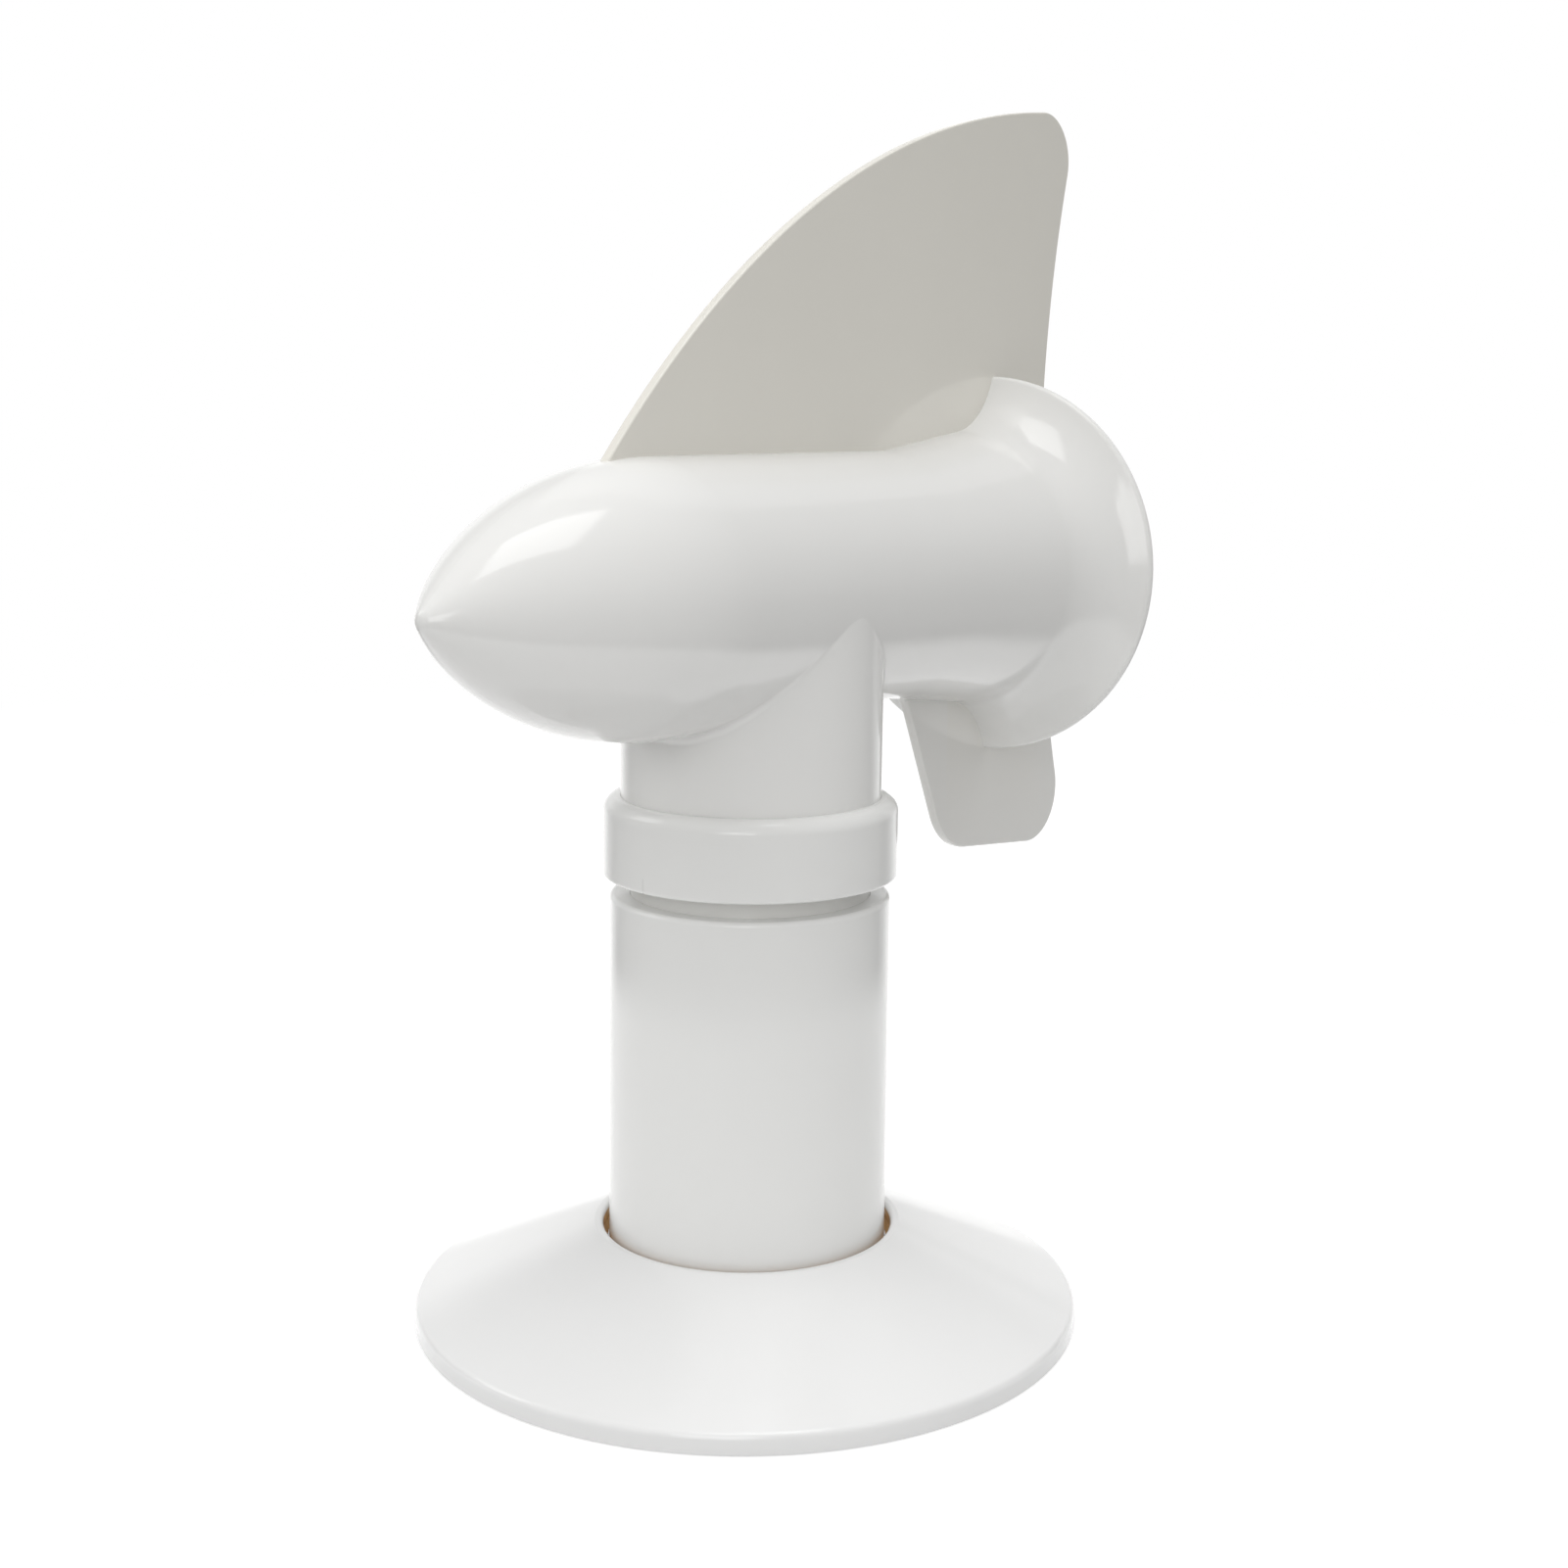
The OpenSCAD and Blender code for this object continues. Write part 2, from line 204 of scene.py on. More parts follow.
class Studio(PropertyGroup):
    """The camera, the lamps and the floor."""

    eye: FloatVectorProperty(name="Camera place", description="Where the camera stands", size=3,
                             default=(-0.3998, -0.3064, 0.2154), subtype="TRANSLATION", unit="LENGTH")
    heading: angle("Heading", "Compass direction in which the camera looks, from the body's line", 35.397)
    tilt: angle("Tilt", "How far the camera looks down", 7.735)
    roll: angle("Roll", "Turn of the camera about its own line of sight", 0.825)
    lens_px: amount("Focal length", "Focal length in the picture's pixels", 2253.2, 9999.0)
    axis_px: FloatVectorProperty(name="Optical axis", description="Pixel that the optical axis meets",
                                 size=2, default=(848.6, 707.3))
    picture_px: amount("Picture width", "Width of the square picture in pixels", 1601.0, 9999.0)
    floor_white: colour("Floor", "Colour of the floor", (0.55, 0.55, 0.55))
    floor_lift: amount("Floor lift", "White that is seen on top of the lit floor", 0.52)
    shadow_r: length("Shadow reach", "How far off the floor still keeps the object's shadow", 600)
    shadow_fade: length("Shadow fade", "Over what length the shadowed floor turns plain white", 500)
    table_r: length("Table", "How far the white table reaches in reflections", 280)
    table_glow: amount("Table glow", "White that reflections see on top of the lit table", 0.7)
    table_edge: length("Table edge", "Width of the table's edge in reflections", 60)
    room_low: amount("Room, low", "Brightness of the room at the horizon", 0.31, 4.0)
    room_high: amount("Room, high", "Brightness of the room overhead", 0.9, 4.0)
    room_gloss: amount("Room in gloss", "Brightness of the room's sides in reflections", 0.12, 4.0)
    front: watts("Front lamp", "Power of the low lamp beside the camera", 3.3)
    side: watts("Side lamp", "Power of the lamp on the left", 2.1)
    top: watts("Top lamp", "Power of the lamp overhead", 4.2)
    back: watts("Back lamp", "Power of the high lamp behind the object", 1.6)


def arc(centre, radius, start, end):
    """Points on a circle, the short way from towards start to towards end."""
    centre, start, end = Vector(centre), Vector(start), Vector(end)
    first = atan2(start.y - centre.y, start.x - centre.x)
    last = atan2(end.y - centre.y, end.x - centre.x)
    sweep = (last - first + pi) % (2 * pi) - pi
    count = max(1, ceil(abs(sweep) / (2 * acos(1 - CHORD_GAP / radius))))
    turns = [first + sweep * i / count for i in range(count + 1)]
    return [centre + radius * Vector((cos(turn), sin(turn))) for turn in turns]


def rounded(a, b, c, radius):
    """Points that round the corner b of the path a, b, c."""
    to_a, to_c = (a - b).normalized(), (c - b).normalized()
    half = to_a.angle(to_c) / 2
    centre = b + (to_a + to_c).normalized() * radius / sin(half)
    return arc(centre, radius, b + to_a * radius / tan(half), b + to_c * radius / tan(half))


def crossing(first, first_r, second, second_r):
    """Where two circles cross, to the left of the line from the first centre to the second."""
    gap = second - first
    along = (gap.length_squared + first_r ** 2 - second_r ** 2) / (2 * gap.length)
    unit = gap.normalized()
    return first + unit * along + Vector((-unit.y, unit.x)) * sqrt(first_r ** 2 - along ** 2)


def on_line(centre, radius, point, unit):
    """Where a circle meets the line through point along unit, the last crossing."""
    behind = unit.dot(point - centre)
    return point + unit * (sqrt(behind ** 2 - (point - centre).length_squared + radius ** 2) - behind)


def path(*runs):
    """One run of points from several, without the points that repeat."""
    points = []
    for point in (Vector(p) for run in runs for p in run):
        if not points or (point - points[-1]).length > MERGE_GAP:
            points.append(point)
    if (points[0] - points[-1]).length <= MERGE_GAP:
        points.pop()
    return points


def nose_profile(head, inset):
    """Profile of the nose from its tip to the straight body, drawn inwards by inset."""
    nose_r = (head.nose_len ** 2 + head.body_r ** 2) / (2 * head.body_r)
    centre = Vector((-head.nose_start, head.body_r - nose_r))
    radius = nose_r - inset
    tip = Vector((centre.x - sqrt((radius - head.tip_r) ** 2 - centre.y ** 2), 0))
    return path(arc(tip, head.tip_r, tip - Vector((1, 0)), tip + (tip - centre)),
                arc(centre, radius, tip, (-head.nose_start, head.body_r)))


def wall_r(head, x, depth):
    """Radius at x, behind the pipe's axis, of the surface at that depth in the body's wall."""
    foot_x = head.bell_start + depth * tan(head.cone_angle / 2)
    return head.body_r - depth + max(0, x - foot_x) * tan(head.cone_angle)


def bell_profile(head):
    """Profile of the body behind the pipe's axis: out along its skin, round the lip and back inside."""
    cone_x = head.bell_start + head.cone_len
    cone_r = head.body_r + head.cone_len * tan(head.cone_angle)
    start = Vector((sin(head.cone_angle), -cos(head.cone_angle)))
    flare = Vector((cone_x, cone_r)) - start * head.flare_r
    middle_r = head.flare_r + head.wall / 2
    turn = acos((flare.y - (head.bell_d - head.wall) / 2) / middle_r)
    end = Vector((sin(turn), -cos(turn)))
    lip = flare + end * middle_r
    front = lip + Vector((cos(turn), sin(turn)))
    inner_r = head.body_r - head.wall
    return path([(0, head.body_r), (head.bell_start, head.body_r)],
                arc(flare, head.flare_r, flare + start, flare + end),
                arc(lip, head.wall / 2, flare, front),
                arc(lip, head.wall / 2, front, lip + end),
                arc(flare, head.flare_r + head.wall, flare + end, flare + start),
                [(head.bell_start + head.wall * tan(head.cone_angle / 2), inner_r), (0, inner_r)])


class Crotch:
    """How the neck's round hole lies on the body, with a ball of radius ball_r rolled round it."""

    def __init__(self, head, body_r, neck_r, ball_r):
        self.body_r, self.neck_r, self.ball_r = body_r, neck_r, ball_r
        self.ratio = (neck_r + ball_r) / (body_r + ball_r)
        self.count = round(head.segments * asin(head.neck_r / head.body_r) / (2 * pi))
        self.even_edge = 2 * pi * self.count / head.segments
        self.edge = asin(self.ratio)

    def neck_turn(self, body_turn):
        """Angle round the neck of the joint's point at an even angle round the body from its bottom."""
        return pi / 2 * body_turn / self.even_edge

    def body_turn(self, even):
        """Angle round the body to which an even angle is drawn, so that the hole's edge is even."""
        if abs(even) <= self.even_edge:
            return asin(self.ratio * sin(self.neck_turn(even)))
        over = self.edge + (abs(even) - self.even_edge) * (pi - self.edge) / (pi - self.even_edge)
        return over if even > 0 else -over

    def ball(self, turn):
        """Middle of the rolling ball at an angle round the neck."""
        reach = self.neck_r + self.ball_r
        side = reach * sin(turn)
        return Vector((reach * cos(turn), side, -sqrt((self.body_r + self.ball_r) ** 2 - side ** 2)))

    def point(self, turn, share):
        """Point on the joint at an angle round the neck, from the body's skin to the neck's."""
        ball = self.ball(turn)
        to_body = -Vector((0, ball.y, ball.z)).normalized()
        to_neck = -Vector((ball.x, ball.y, 0)).normalized()
        return ball + self.ball_r * to_body.slerp(to_neck, share)


def spun(bm, points, crotches):
    """Turns a profile about the body's axis and opens its middle rings for the neck."""
    verts = [bm.verts.new((p.x, 0, -p.y)) for p in points]
    edges = [bm.edges.new(pair) for pair in zip(verts, verts[1:])]
    before = set(bm.verts) - set(verts)
    steps = bpy.context.scene.vent_head.segments
    bmesh.ops.spin(bm, geom=verts + edges, cent=(0, 0, 0), axis=(1, 0, 0), angle=2 * pi, steps=steps,
                   use_merge=True, use_duplicate=False)
    side = 1 if max(p.x for p in points) > MERGE_GAP else -1
    for vert in set(bm.verts) - before:
        reach = sqrt(vert.co.y ** 2 + vert.co.z ** 2)
        if reach <= MERGE_GAP:
            continue
        crotch = min(crotches, key=lambda c: abs(c.body_r - reach))
        even = atan2(vert.co.y, -vert.co.z)
        turn = crotch.body_turn(even)
        vert.co.y, vert.co.z = reach * sin(turn), -reach * cos(turn)
        if abs(vert.co.x) <= MERGE_GAP and abs(even) < crotch.even_edge - MERGE_GAP:
            vert.co.x = side * (crotch.neck_r + crotch.ball_r) * cos(crotch.neck_turn(even))


def hole_edge(bm, crotch):
    """The vertices round the body's hole for the neck, each with its angle round the neck."""
    turns = {}
    for vert in bm.verts:
        off = abs(sqrt(vert.co.y ** 2 + vert.co.z ** 2) - crotch.body_r)
        if vert.is_boundary and off < 10 * MERGE_GAP:
            side = vert.co.y / crotch.body_r * (crotch.body_r + crotch.ball_r)
            turns[vert] = atan2(side, vert.co.x)
    return turns


def drawn_on(bm, turns, place):
    """Extrudes a loop of vertices to the places that place gives for their angles, as a new loop."""
    edges = [e for e in bm.edges if e.is_boundary and all(v in turns for v in e.verts)]
    made = bmesh.ops.extrude_edge_only(bm, edges=edges)["geom"]
    fresh = {}
    for vert in (g for g in made if isinstance(g, bmesh.types.BMVert)):
        old = next(e.other_vert(vert) for e in vert.link_edges if e.other_vert(vert) in turns)
        fresh[vert] = turns[old]
    for vert, turn in fresh.items():
        vert.co = place(turn)
    return fresh


def hollow_tee(bm, head):
    """Nose, body and bell as one closed wall, with the neck drawn down out of it."""
    outer = Crotch(head, head.body_r, head.neck_r, head.crotch_r)
    inner = Crotch(head, head.body_r - head.wall, head.neck_r - head.wall, 0)
    crotches = (outer, inner)
    spun(bm, bell_profile(head), crotches)
    for inset in (0, head.wall):
        spun(bm, path(nose_profile(head, inset), [(0, head.body_r - inset)]), crotches)
    bmesh.ops.remove_doubles(bm, verts=bm.verts, dist=MERGE_GAP)
    feet = []
    for crotch in crotches:
        turns = hole_edge(bm, crotch)
        if crotch.ball_r:
            for i in range(head.fillet_cuts):
                turns = drawn_on(bm, turns, lambda turn: crotch.point(turn, (i + 1) / head.fillet_cuts))
        foot = drawn_on(bm, turns, lambda turn: Vector(
            (crotch.neck_r * cos(turn), crotch.neck_r * sin(turn), -head.neck_len)))
        feet += [e for e in bm.edges if e.is_boundary and all(v in foot for v in e.verts)]
    bmesh.ops.bridge_loops(bm, edges=feet)


def fin_outline(fin, head):
    """Edge of the fin and its keel, closed inside the body's wall and across the throat."""
    lead = Vector((fin.crest_x, fin.crest_h - fin.lead_r))
    trail = Vector((fin.waist_x + fin.trail_r, fin.waist_h))
    start_x = -head.nose_start - head.body_r / 2
    start = Vector((start_x, lead.y + sqrt(fin.lead_r ** 2 - (start_x - lead.x) ** 2)))
    tip = crossing(lead, fin.lead_r - fin.tip_r, trail, fin.trail_r + fin.tip_r)
    foot = Vector((fin.waist_x, -fin.keel_h))
    back = Vector((-cos(fin.keel_rise), sin(fin.keel_rise)))
    up = Vector((back.y, -back.x))
    heel = on_line(trail, fin.trail_r + fin.heel_r, foot + fin.heel_r * up, back)
    root = Vector((fin.keel_root_x, fin.sink - head.body_r))
    rake = Vector((cos(fin.keel_rake), sin(fin.keel_rake)))
    toe = foot + back * (root - foot).dot(rake) / back.dot(rake)
    skin_depth = head.wall / 3
    bottom = [p for p in rounded(toe, root, root - Vector((fin.toe_r + fin.root_r, 0)), fin.root_r)
              if p.y < -wall_r(head, p.x, skin_depth)]
    buried = head.wall * 0.7
    under = [(x, -wall_r(head, x, buried)) for x in (bottom[-1].x, fin.plate_x)]
    over = [(x, wall_r(head, x, buried)) for x in (fin.plate_x, head.bell_start, -head.nose_start)]
    return path(arc(lead, fin.lead_r, start, tip),
                arc(tip, fin.tip_r, 2 * tip - lead, trail),
                arc(trail, fin.trail_r, tip, heel),
                arc(heel, fin.heel_r, trail, heel - up),
                rounded(foot, toe, root, fin.toe_r),
                bottom, under, over)


def slab(bm, points, thickness, edge_r, cuts):
    """Extrudes a flat face by the vector thickness and rounds the edges round both its faces."""
    verts = [bm.verts.new(p) for p in points]
    face = bm.faces.new(verts)
    made = bmesh.ops.extrude_face_region(bm, geom=[face], use_keep_orig=True)["geom"]
    top = [g for g in made if isinstance(g, bmesh.types.BMVert)]
    bmesh.ops.translate(bm, verts=top, vec=thickness)
    rims = [e for group in (set(verts), set(top)) for e in bm.edges if all(v in group for v in e.verts)]
    bmesh.ops.bevel(bm, geom=rims, offset=edge_r, offset_type="OFFSET", segments=cuts, profile=0.5,
                    affect="EDGES", material=-1)


def fin_plate(bm, head, fin):
    """The fin with its keel."""
    points = [(p.x, -fin.thickness / 2, p.y) for p in fin_outline(fin, head)]
    slab(bm, points, Vector((0, fin.thickness, 0)), fin.edge_r, fin.edge_cuts)


def throat_web(bm, head, fin):
    """The web across the throat, sunk into the middle of the wall."""
    rear = fin.plate_x + fin.web_t / 2
    corners = []
    for x, sides in ((rear - fin.web_len, (-1, 1)), (rear, (1, -1))):
        half = sqrt(wall_r(head, x, head.wall / 2) ** 2 - fin.web_h ** 2)
        corners += [(x, side * half, fin.web_h - fin.web_t / 2) for side in sides]
    slab(bm, corners, Vector((0, 0, fin.web_t)), fin.edge_r, fin.edge_cuts)


def label_panel(bm, fin, label):
    """The bare raised panel on the fin's far side."""
    foot = Vector((label.place, label.foot))
    a = foot + Vector((label.long, 0))
    b = a + Vector((-label.slant, label.high))
    c = b - Vector((label.long, 0))
    ring = [c, foot, a, b, c, foot]
    outline = path(*(rounded(*ring[i:i + 3], label.corner) for i in range(4)))
    points = [(p.x, fin.thickness / 2 - fin.sink, p.y) for p in outline]
    slab(bm, points, Vector((0, label.proud + fin.sink, 0)), label.edge_r, label.edge_cuts)


# Height of the body's axis
AXIS_Z = 171.0 * MM
# Width of the features of the plastic's cloudiness, waviness, orange peel and varying gloss
CLOUD_SIZE = 45 * MM
WAVE_SIZE = 14 * MM
PEEL_SIZE = 1.3 * MM
GRAIN_SIZE = 5 * MM
# Height of the waviness and of the orange peel, in millimetres
WAVE_HEIGHT = 0.016
PEEL_HEIGHT = 0.0022
# How far the grain changes the roughness
GRAIN_CHANGE = 0.08
# What the cloudiness multiplies a colour by, where it is darkest and where it is lightest
CLOUD_DARK = 0.975
CLOUD_LIGHT = 1.02
PLASTIC_IOR = 1.49
# Half the width of the mould line, and its height in millimetres
LINE_HALF = 0.22 * MM
LINE_HEIGHT = 0.02
# The collar's mould mark: its compass direction, half its width, its length and its height in millimetres
TICK_TURN = radians(173.6)
TICK_HALF = 0.35 * MM
TICK_LONG = 4 * MM
TICK_HEIGHT = 0.12
# Over what length each painted shade and glow fades out
TINT_EDGE = 0.5 * MM
# Share of the fin's painted shade that its keel has
KEEL_PAINTED_SHADE = 0.2
# How far behind the pipe's axis the painted shade in the throat starts, and over what length it deepens
THROAT_SHADE_START = 92 * MM
THROAT_SHADE_LONG = 16 * MM
# How far the painted glow round the flange's hole reaches off the pipe
GLOW_REACH = 2.2 * MM
# How far under the flange's top the painted glow starts and ends, and over what length it does
GLOW_TOP = 0.7 * MM
GLOW_TOP_EDGE = 0.4 * MM
GLOW_FOOT = 7 * MM
GLOW_FOOT_EDGE = 2 * MM


class Signal:
    """A socket of a shader, with its sums written as Python sums."""

    def __init__(self, paint, socket):
        self.paint = paint
        self.socket = socket

    def of(self, output):
        """Another output of the same node."""
        return Signal(self.paint, self.socket.node.outputs[output])

    def sum(self, operation, *terms, clamp=False):
        """The result of a Math node."""
        settings = {"operation": operation, "use_clamp": clamp}
        return self.paint.node("ShaderNodeMath", settings, dict(enumerate(terms)))

    def __add__(self, other):
        return self.sum("ADD", self, other)

    def __sub__(self, other):
        return self.sum("SUBTRACT", self, other)

    def __rsub__(self, other):
        return self.sum("SUBTRACT", other, self)

    def __mul__(self, other):
        return self.sum("MULTIPLY", self, other)

    def __truediv__(self, other):
        return self.sum("DIVIDE", self, other)

    def __abs__(self):
        return self.sum("ABSOLUTE", self)

    def clamped(self):
        """The value, held between nought and one."""
        return self.sum("ADD", self, 0.0, clamp=True)

    __radd__ = __add__
    __rmul__ = __mul__


class Paint:
    """A node tree that is emptied first, with one way to make nodes in it."""

    def __init__(self, owner):
        owner.use_nodes = True
        self.owner = owner
        self.tree = owner.node_tree
        self.tree.nodes.clear()

    def node(self, kind, settings=None, sockets=None, output=0):
        """Makes a node, sets it up, fills or links its sockets and gives one of its outputs."""
        node = self.tree.nodes.new(kind)
        for key, value in (settings or {}).items():
            setattr(node, key, value)
        for key, value in (sockets or {}).items():
            if isinstance(value, Signal):
                self.tree.links.new(value.socket, node.inputs[key])
            else:
                node.inputs[key].default_value = value
        return Signal(self, node.outputs[output]) if node.outputs else None

    def noise(self, place, size, detail=1.0):
        """Soft noise from nought to one, with features of that size in metres."""
        return self.node("ShaderNodeTexNoise", {"noise_dimensions": "3D"},
                         {"Vector": place, "Scale": 1 / size, "Detail": detail, "Roughness": 0.5})

    def mixed(self, share, low, high):
        """A colour between two, each either written or from another node."""
        low, high = (c if isinstance(c, Signal) else (*c, 1) for c in (low, high))
        return self.node("ShaderNodeMix", {"data_type": "RGBA"}, {0: share, 6: low, 7: high}, 2)


def plastic(name, white, gloss, tint=None, mould_line=None):
    """Moulded plastic: faint cloudiness, a slow waviness, fine orange peel and a varying gloss.

    tint, where given, yields shares of the surface, each with its colour there: painted shade and painted
    glow.
    mould_line, where given, yields the height in millimetres of what the mould left.
    """
    paint = Paint(bpy.data.materials.new(name))
    place = paint.node("ShaderNodeTexCoord", output="Object")
    cloud = paint.noise(place, CLOUD_SIZE, 3.0)
    wave = paint.noise(place, WAVE_SIZE)
    peel = paint.noise(place, PEEL_SIZE, 2.0)
    grain = paint.noise(place, GRAIN_SIZE, 4.0)
    height = wave * WAVE_HEIGHT + peel * PEEL_HEIGHT
    if mould_line:
        height = height + mould_line(paint, place)
    relief = paint.node("ShaderNodeBump", None, {"Height": height, "Distance": MM, "Strength": 1.0})
    tone = paint.mixed(cloud, *shades(white))
    for share, colour_there in (tint(paint, place) if tint else ()):
        tone = paint.mixed(share, tone, paint.mixed(cloud, *shades(colour_there)))
    roughness = gloss + (grain - 0.5) * GRAIN_CHANGE
    shader = paint.node("ShaderNodeBsdfPrincipled", None,
                        {"Base Color": tone, "Roughness": roughness, "Normal": relief, "IOR": PLASTIC_IOR})
    paint.node("ShaderNodeOutputMaterial", None, {"Surface": shader})
    return paint.owner


def shades(white):
    """The darker and the lighter shade of a plastic's cloudiness."""
    return [CLOUD_DARK * part for part in white], [min(1, CLOUD_LIGHT * part) for part in white]


def crown_line(paint, place):
    """Height in millimetres of the line that the mould's two halves leave along the body's crown."""
    split = paint.node("ShaderNodeSeparateXYZ", None, {"Vector": place})
    ridge = (1 - abs(split.of("Y")) / LINE_HALF).clamped()
    return ridge * ridge * LINE_HEIGHT


def collar_tick(paint, place):
    """Height in millimetres of the short upright mark that the mould leaves low on the collar."""
    split = paint.node("ShaderNodeSeparateXYZ", None, {"Vector": place})
    off, out = (
        paint.node("ShaderNodeVectorMath", {"operation": "DOT_PRODUCT"},
                   {0: place, 1: (cos(turn), sin(turn), 0)}, "Value")
        for turn in (TICK_TURN + pi / 2, TICK_TURN))
    ridge = (1 - abs(off) / TICK_HALF).clamped() * (out / MM).clamped()
    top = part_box("swivel_collar")[0].z + TICK_LONG
    return ridge * ((top - split.of("Z")) / MM).clamped() * TICK_HEIGHT


def head_painted_shade(paint, place):
    """Where painted shade darkens and warms the head's white: over the thin fin, and deep in the throat.
    """
    finish, head = bpy.context.scene.vent_finish, bpy.context.scene.vent_head
    plate = paint.node("ShaderNodeAttribute", {"attribute_name": "plate"}, output="Fac")
    split = paint.node("ShaderNodeSeparateXYZ", None, {"Vector": place})
    flat = paint.node("ShaderNodeCombineXYZ", None,
                      {"X": 0.0, "Y": split.of("Y"), "Z": split.of("Z") - AXIS_Z})
    reach = paint.node("ShaderNodeVectorMath", {"operation": "LENGTH"}, {0: flat}, "Value")
    past = split - head.bell_start
    middle = past.sum("MAXIMUM", past, 0.0) * tan(head.cone_angle) + (head.body_r - head.wall / 2)
    # Painted shade on the inner skin, deepening into the throat
    inside = ((middle - reach) / TINT_EDGE).clamped() * ((split + head.nose_start) / MM).clamped()
    deep = ((THROAT_SHADE_START - split) / THROAT_SHADE_LONG).clamped()
    return (plate, finish.fin_shaded_white), (inside * deep * (1 - plate), finish.throat_painted_shade)


def hole_glow_paint(paint, place):
    """Where the flange's white is painted amber as glow: light that bounces in the gap round its hole and
    shines through the plastic, under the top's own rounding.
    """
    finish = bpy.context.scene.vent_finish
    split = paint.node("ShaderNodeSeparateXYZ", None, {"Vector": place})
    flat = paint.node("ShaderNodeCombineXYZ", None, {"X": split, "Y": split.of("Y"), "Z": 0.0})
    reach = paint.node("ShaderNodeVectorMath", {"operation": "LENGTH"}, {0: flat}, "Value")
    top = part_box("roof_flange")[1].z
    near = ((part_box("stand_pipe")[1].x + GLOW_REACH - reach) / TINT_EDGE).clamped()
    under = ((top - GLOW_TOP - split.of("Z")) / GLOW_TOP_EDGE).clamped()
    over = ((split.of("Z") - top + GLOW_FOOT) / GLOW_FOOT_EDGE).clamped()
    return ((near * under * over, finish.hole_painted_glow),)


def object_of(name, bm, body, material):
    """Turns a bmesh into a finished object that rides on a body of the frame."""
    bmesh.ops.recalc_face_normals(bm, faces=bm.faces)
    for face in bm.faces:
        face.smooth = True
    mesh = bpy.data.meshes.new(name)
    bm.to_mesh(mesh)
    bm.free()
    mesh.set_sharp_from_angle(angle=SHARP_TURN)
    mesh.materials.append(material)
    obj = bpy.data.objects.new(name, mesh)
    bpy.context.scene.collection.objects.link(obj)
    weighted = obj.modifiers.new("Even shading", "WEIGHTED_NORMAL")
    weighted.keep_sharp = True
    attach(obj, body)
    return obj


class VENTCAP_OT_vane_head(Operator):
    """Moulds the vane head in place of its plain solid"""

    bl_idname = "vent_cap.vane_head"
    bl_label = "Mould vane head"

    def execute(self, context):
        scene = context.scene
        head, fin, label, finish = scene.vent_head, scene.vent_fin, scene.vent_label, scene.vent_finish
        bm = bmesh.new()
        plate = bm.verts.layers.float.new("plate")
        hollow_tee(bm, head)
        shell = set(bm.verts)
        fin_plate(bm, head, fin)
        throat_web(bm, head, fin)
        label_panel(bm, fin, label)
        # Marks the fin, keel, web and panel for the fin's painted shade, the keel with a smaller share
        for vert in set(bm.verts) - shell:
            vert[plate] = 1.0 if vert.co.z > 0 else KEEL_PAINTED_SHADE
        crest = max(vert.co.z for vert in bm.verts)
        bmesh.ops.translate(bm, verts=bm.verts, vec=(0, 0, HEAD_BOX[1].z - crest))
        white = plastic("Head white", finish.head_white, finish.gloss, head_painted_shade, crown_line)
        moulding = object_of("vane_head_moulding", bm, "head", white)
        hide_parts("vane_head")
        for corner, wanted in zip(((min, 0), (max, 1)), HEAD_BOX):
            found = Vector([corner[0](v.co[i] for v in moulding.data.vertices) for i in range(3)])
            if (found - wanted).length > FIT_GAP:
                raise RuntimeError(f"the moulded head reaches {found}, and its solid {wanted}")
        return {"FINISHED"}


class VENTCAP_OT_fixed_plastics(Operator):
    """Finishes the pieces that keep their solids: collar, pipe, spigot, rings and flange"""

    bl_idname = "vent_cap.fixed_plastics"
    bl_label = "Finish collar, pipe and flange"

    def execute(self, context):
        finish = context.scene.vent_finish
        cream = plastic("Ring cream", finish.ring_cream, finish.ring_gloss)
        finishes = {
            "swivel_collar": plastic("Collar white", finish.collar_white, finish.gloss, None, collar_tick),
            "stand_pipe": plastic("Pipe white", finish.pipe_white, finish.gloss),
            "bearing_spigot": plastic("Spigot white", finish.spigot_shaded_white, finish.gloss),
            "roof_flange": plastic("Flange white", finish.flange_white, finish.gloss, hole_glow_paint),
            "wear_ring": cream,
            "thrust_ring": cream,
        }
        for name, material in finishes.items():
            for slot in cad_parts[name].material_slots:
                slot.material = material
        return {"FINISHED"}


# Where the lamps aim, and how far off they stand
LAMP_AIM = (0.0, 0.0, 0.17)
LAMP_REACH = 1.3
# Half the floor's width, and how far the floor lies under the object
FLOOR_HALF = 6
FLOOR_GAP = 0.2 * MM
# Where the backdrop ends, as shares of a direction along the camera's line and upwards, and how fast
BACKDROP_EDGE = 0.6
BACKDROP_TOP = 0.5
BACKDROP_STEEP = 4
# How fast the room grows lighter from the horizon up
ROOM_STEEP = 2


def level_ahead(studio):
    """The level direction in which the camera looks."""
    return Vector((cos(studio.heading), sin(studio.heading), 0))


def lamp(name, studio, power, turn, rise, size):
    """A soft square lamp, turned right of the camera and raised over the floor, both in degrees."""
    ahead = level_ahead(studio)
    right = Vector((ahead.y, -ahead.x, 0))
    level = right * sin(radians(turn)) - ahead * cos(radians(turn))
    towards = level * cos(radians(rise)) + Vector((0, 0, sin(radians(rise))))
    light = bpy.data.lights.new(name, "AREA")
    light.shape = "SQUARE"
    light.size = size
    light.energy = power
    obj = bpy.data.objects.new(name, light)
    obj.location = Vector(LAMP_AIM) + towards * LAMP_REACH
    obj.rotation_euler = towards.to_track_quat("Z", "Y").to_euler()
    bpy.context.scene.collection.objects.link(obj)


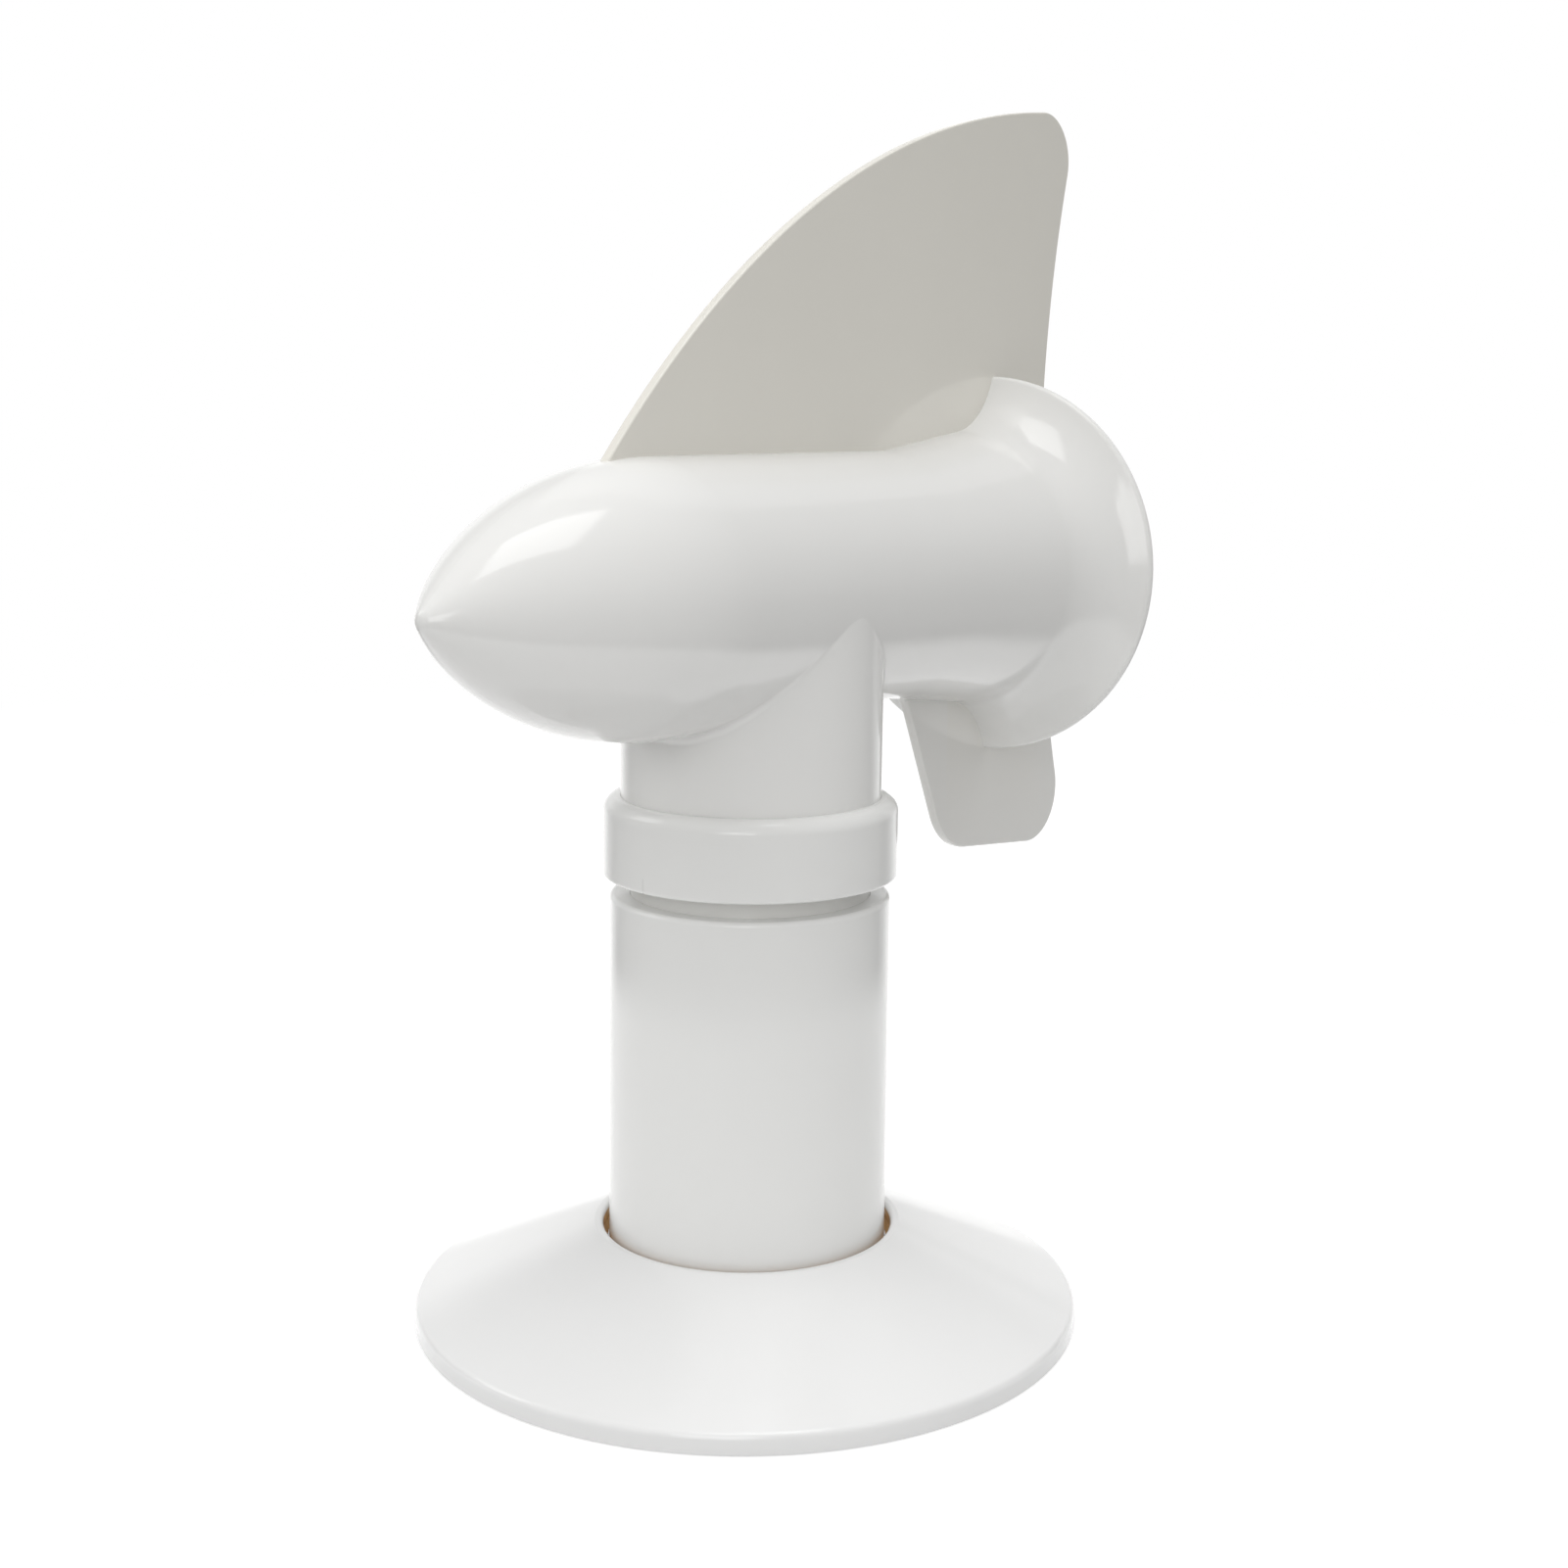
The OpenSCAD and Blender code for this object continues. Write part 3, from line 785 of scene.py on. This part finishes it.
def picture_camera(scene, studio):
    """The camera at the photograph's place, with its lens and framing."""
    level = level_ahead(studio)
    ahead = level * cos(studio.tilt) - Vector((0, 0, sin(studio.tilt)))
    right = Vector((level.y, -level.x, 0))
    up = right.cross(ahead)
    turned_right = right * cos(studio.roll) + up * sin(studio.roll)
    turned_up = up * cos(studio.roll) - right * sin(studio.roll)
    camera = bpy.data.cameras.new("Picture camera")
    camera.sensor_width = 36.0
    camera.lens = studio.lens_px / studio.picture_px * camera.sensor_width
    camera.shift_x = 0.5 - studio.axis_px[0] / studio.picture_px
    camera.shift_y = studio.axis_px[1] / studio.picture_px - 0.5
    camera.clip_start = 0.01
    obj = bpy.data.objects.new("Picture camera", camera)
    turn = Matrix((turned_right, turned_up, -ahead)).transposed().to_4x4()
    obj.matrix_world = Matrix.Translation(studio.eye) @ turn
    scene.collection.objects.link(obj)
    scene.camera = obj


def behind(ahead):
    """Share of the white backdrop at a direction's share along the camera's line of sight."""
    return ((ahead - BACKDROP_EDGE) * BACKDROP_STEEP).clamped()


def floor_paint(studio):
    """The floor: it keeps the object's shadow, and turns plain white to the camera and dim in gloss."""
    paint = Paint(bpy.data.materials.new("Studio floor"))
    place = paint.node("ShaderNodeTexCoord", output="Object")
    away = paint.node("ShaderNodeVectorMath", {"operation": "LENGTH"}, {0: place}, "Value")
    ahead = paint.node("ShaderNodeVectorMath", {"operation": "DOT_PRODUCT"},
                       {0: place, 1: level_ahead(studio)}, "Value")
    far = ((away - studio.shadow_r) / studio.shadow_fade).clamped()
    off_table = ((away - studio.table_r) / studio.table_edge).clamped()
    off_table = off_table * (1 - behind(ahead / away))
    seen = paint.node("ShaderNodeLightPath", output="Is Camera Ray")
    white, dim = (
        paint.node("ShaderNodeBsdfDiffuse", None,
                   {"Color": (*[share * part for part in studio.floor_white], 1)})
        for share in (1, studio.room_gloss))
    glow, bright, clear = (paint.node("ShaderNodeEmission", None, {"Strength": strength})
                           for strength in (studio.floor_lift, studio.table_glow, 1.0))
    lifted = paint.node("ShaderNodeAddShader", None, {0: white, 1: glow})
    table = paint.node("ShaderNodeAddShader", None, {0: white, 1: bright})
    pictured = paint.node("ShaderNodeMixShader", None, {0: far, 1: lifted, 2: clear})
    mirrored = paint.node("ShaderNodeMixShader", None, {0: off_table, 1: table, 2: dim})
    lighting = paint.node("ShaderNodeMixShader", None, {0: far, 1: white, 2: dim})
    unseen = paint.node("ShaderNodeMixShader", None,
                        {0: seen.of("Is Glossy Ray"), 1: lighting, 2: mirrored})
    shown = paint.node("ShaderNodeMixShader", None, {0: seen, 1: unseen, 2: pictured})
    paint.node("ShaderNodeOutputMaterial", None, {"Surface": shown})
    return paint.owner


def room_paint(studio):
    """The room: white to the camera, lightest overhead, and in gloss a backdrop between dim sides."""
    paint = Paint(bpy.data.worlds.new("Studio room"))
    direction = paint.node("ShaderNodeTexCoord", output="Generated")
    height = paint.node("ShaderNodeSeparateXYZ", None, {"Vector": direction}, "Z")
    ahead = paint.node("ShaderNodeVectorMath", {"operation": "DOT_PRODUCT"},
                       {0: direction, 1: level_ahead(studio)}, "Value")
    low, high, sides, white = (
        paint.node("ShaderNodeBackground", None, {"Color": (1, 1, 1, 1), "Strength": strength})
        for strength in (studio.room_low, studio.room_high, studio.room_gloss, 1.0))
    rise = (height * ROOM_STEEP).clamped()
    lit = paint.node("ShaderNodeMixShader", None, {0: rise, 1: low, 2: high})
    backdrop = behind(ahead) * ((BACKDROP_TOP - height) * BACKDROP_STEEP).clamped()
    mirrored = paint.node("ShaderNodeMixShader", None, {0: backdrop, 1: sides, 2: white})
    seen = paint.node("ShaderNodeLightPath", output="Is Camera Ray")
    glossed = (seen.of("Is Glossy Ray") + seen.of("Is Transmission Ray")).clamped()
    lights = paint.node("ShaderNodeMixShader", None, {0: glossed, 1: lit, 2: mirrored})
    shown = paint.node("ShaderNodeMixShader", None, {0: seen, 1: lights, 2: white})
    paint.node("ShaderNodeOutputWorld", None, {"Surface": shown})
    return paint.owner


class VENTCAP_OT_studio(Operator):
    """Sets the floor, the room's light, the lamps and the camera"""

    bl_idname = "vent_cap.studio"
    bl_label = "Set studio"

    def execute(self, context):
        scene = context.scene
        studio = scene.vent_studio
        scene.view_settings.view_transform = "Standard"
        bm = bmesh.new()
        bmesh.ops.create_grid(bm, x_segments=1, y_segments=1, size=FLOOR_HALF)
        mesh = bpy.data.meshes.new("Studio floor")
        bm.to_mesh(mesh)
        bm.free()
        floor = bpy.data.objects.new("Studio floor", mesh)
        floor.location.z = CAD_BOX[0][2] - FLOOR_GAP
        scene.collection.objects.link(floor)
        mesh.materials.append(floor_paint(studio))
        scene.world = room_paint(studio)
        lamp("Front lamp", studio, studio.front, turn=-8, rise=12, size=0.6)
        lamp("Side lamp", studio, studio.side, turn=-95, rise=32, size=0.6)
        lamp("Top lamp", studio, studio.top, turn=10, rise=83, size=0.7)
        lamp("Back lamp", studio, studio.back, turn=165, rise=40, size=1.2)
        picture_camera(scene, studio)
        return {"FINISHED"}


class VENTCAP_PT_panel(Panel):
    """The cap's sizes, finishes and studio"""

    bl_idname = "VENTCAP_PT_panel"
    bl_label = "Rotating Vent Cap"
    bl_space_type = "VIEW_3D"
    bl_region_type = "UI"
    bl_category = "Vent Cap"

    def draw(self, context):
        for group in GROUPS:
            box = self.layout.box()
            values = getattr(context.scene, group)
            for name in values.__annotations__:
                box.prop(values, name)
        for operator in OPERATORS:
            self.layout.operator(operator.bl_idname)


GROUPS = {"vent_head": HeadSizes, "vent_fin": FinSizes, "vent_label": LabelSizes, "vent_finish": Finish,
          "vent_studio": Studio}
OPERATORS = (VENTCAP_OT_studio, VENTCAP_OT_vane_head, VENTCAP_OT_fixed_plastics)
CLASSES = (*GROUPS.values(), *OPERATORS, VENTCAP_PT_panel)


def register():
    """Adds the classes, and the sizes to the scene."""
    for cls in CLASSES:
        bpy.utils.register_class(cls)
    for name, group in GROUPS.items():
        setattr(bpy.types.Scene, name, PointerProperty(type=group))


def unregister():
    """Takes the classes and the sizes away."""
    for name in GROUPS:
        delattr(bpy.types.Scene, name)
    for cls in reversed(CLASSES):
        bpy.utils.unregister_class(cls)


def main():
    """Sets the studio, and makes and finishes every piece."""
    register()
    bpy.ops.vent_cap.studio()
    bpy.ops.vent_cap.vane_head()
    bpy.ops.vent_cap.fixed_plastics()


if __name__ == "__main__":
    main()
